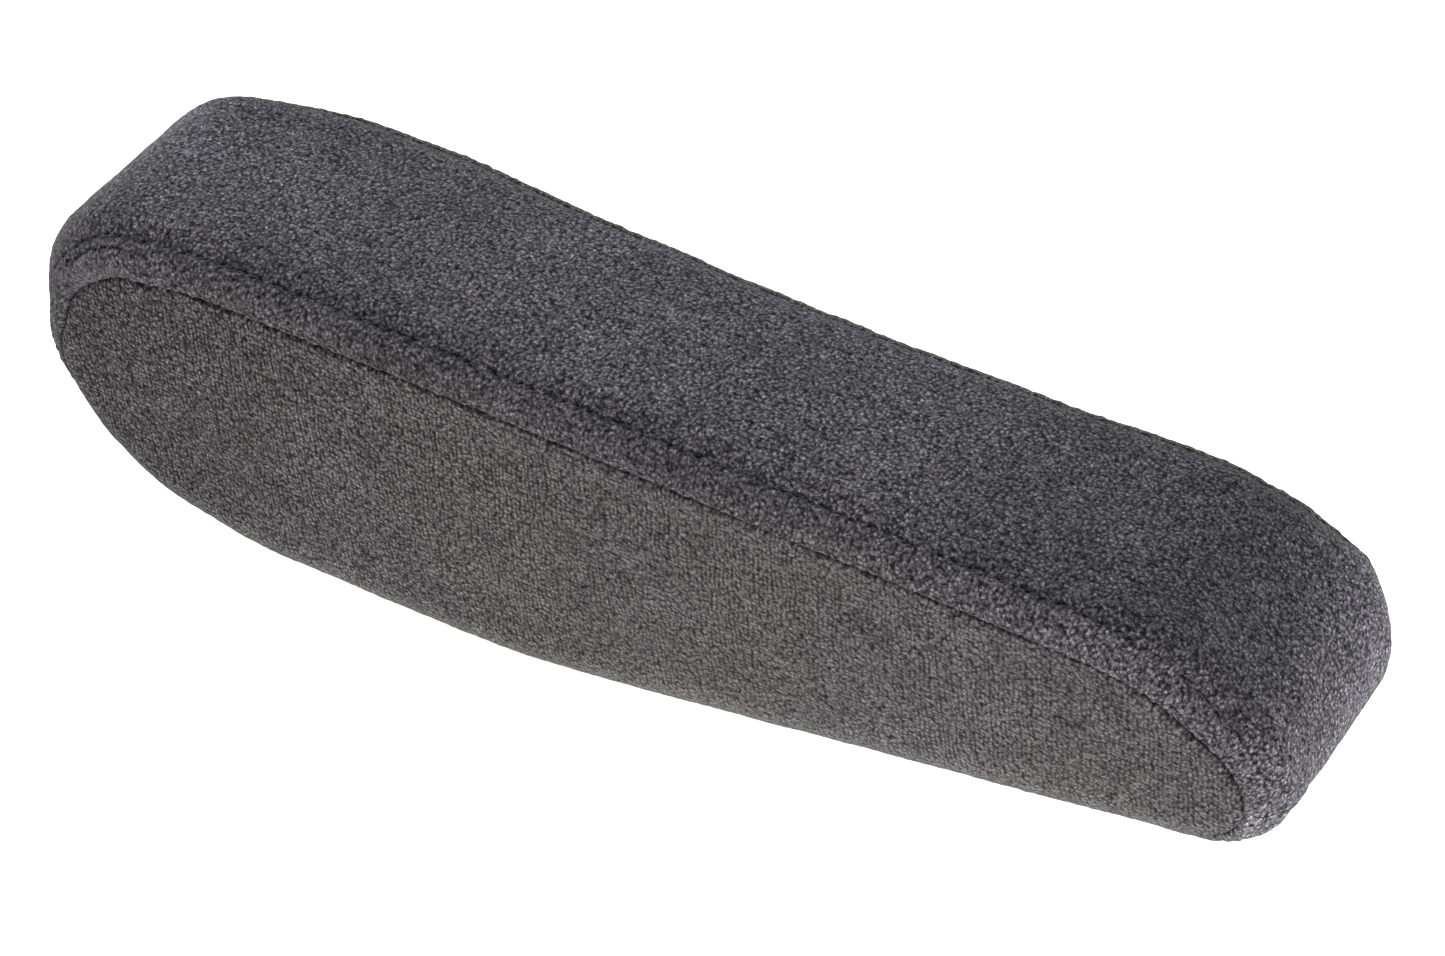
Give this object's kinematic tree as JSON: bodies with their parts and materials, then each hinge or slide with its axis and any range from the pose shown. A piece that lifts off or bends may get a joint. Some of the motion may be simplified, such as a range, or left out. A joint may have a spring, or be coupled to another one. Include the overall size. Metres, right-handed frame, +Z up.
{
  "type": "upholstered seat armrest pad",
  "caption": "Plush fabric flip-up armrest pad, thick at its pivot and tapering to a rounded front, with a bolt-on pivot flange on the seat side.",
  "frame": {"origin": "pivot axis at the outer face of the flange that bolts to the seat frame", "axes": "+X forward along the pad, +Y out of the flange towards the seat, +Z up, with the armrest folded down"},
  "size_m": [0.3845, 0.094, 0.1182],
  "materials": {
    "plush_fabric": "plush knit velour pile, matt with a soft sheen",
    "zinc_steel": "zinc-plated, turned",
    "hard_steel": "ground",
    "spring_steel": "oiled spring steel",
    "black_steel": "black powder coat, semi-matt",
    "bearing_plastic": "natural acetal, smooth",
    "nut_nylon": "nylon",
    "moulded_foam": "moulded polyurethane foam skin",
    "soft_foam": "open-cell polyurethane foam",
    "trim_plastic": "fine-grained moulded plastic",
    "black_screw": "blackened",
    "zip_tape": "woven polyester tape",
    "zip_coil": "nylon coil",
    "zip_metal": "dark enamel over zinc"
  },
  "bodies": {
    "mount": {"pivot_spindle": "zinc_steel", "stop_pin": "hard_steel", "thrust_washer": "bearing_plastic", "friction_washer": "zinc_steel", "disc_spring_inner": "spring_steel", "disc_spring_outer": "spring_steel", "lock_nut": "zinc_steel", "lock_nut_insert": "nut_nylon"},
    "armrest": {"hub_sleeve": "black_steel", "stop_ring": "black_steel", "bush_inner": "bearing_plastic", "bush_outer": "bearing_plastic", "frame_channel": "black_steel", "cross_tube_middle": "black_steel", "cross_tube_front": "black_steel", "front_hoop": "black_steel", "foam_core": "moulded_foam", "foam_topper": "soft_foam", "foam_plug": "moulded_foam", "cover_top_band": "plush_fabric", "cover_outer_panel": "plush_fabric", "cover_inner_panel": "plush_fabric", "hub_bezel": "trim_plastic", "bezel_retainer": "trim_plastic", "bezel_screws": "black_screw", "zip_tape_outer": "zip_tape", "zip_tape_inner": "zip_tape", "zip_coil": "zip_coil", "zip_stops": "zip_metal"},
    "zip_slider": {"zip_slider": "zip_metal"},
    "zip_pull": {"zip_pull": "zip_metal"}
  },
  "joints": [
    {"name": "arm_pivot", "type": "hinge", "parent": "mount", "child": "armrest", "pos_m": [0, 0, 0], "axis": [0, -1, 0], "range_deg": [0, 100]},
    {"name": "zip_slide", "type": "slide", "parent": "armrest", "child": "zip_slider", "axis": [0.9819, 0, 0.1896], "range_m": [0, 0.14]},
    {"name": "pull_swing", "type": "hinge", "parent": "zip_slider", "child": "zip_pull", "pos_m": [0.152, -0.054, -0.05015], "axis": [0, -1, 0], "range_deg": [-70, 90]}
  ]
}
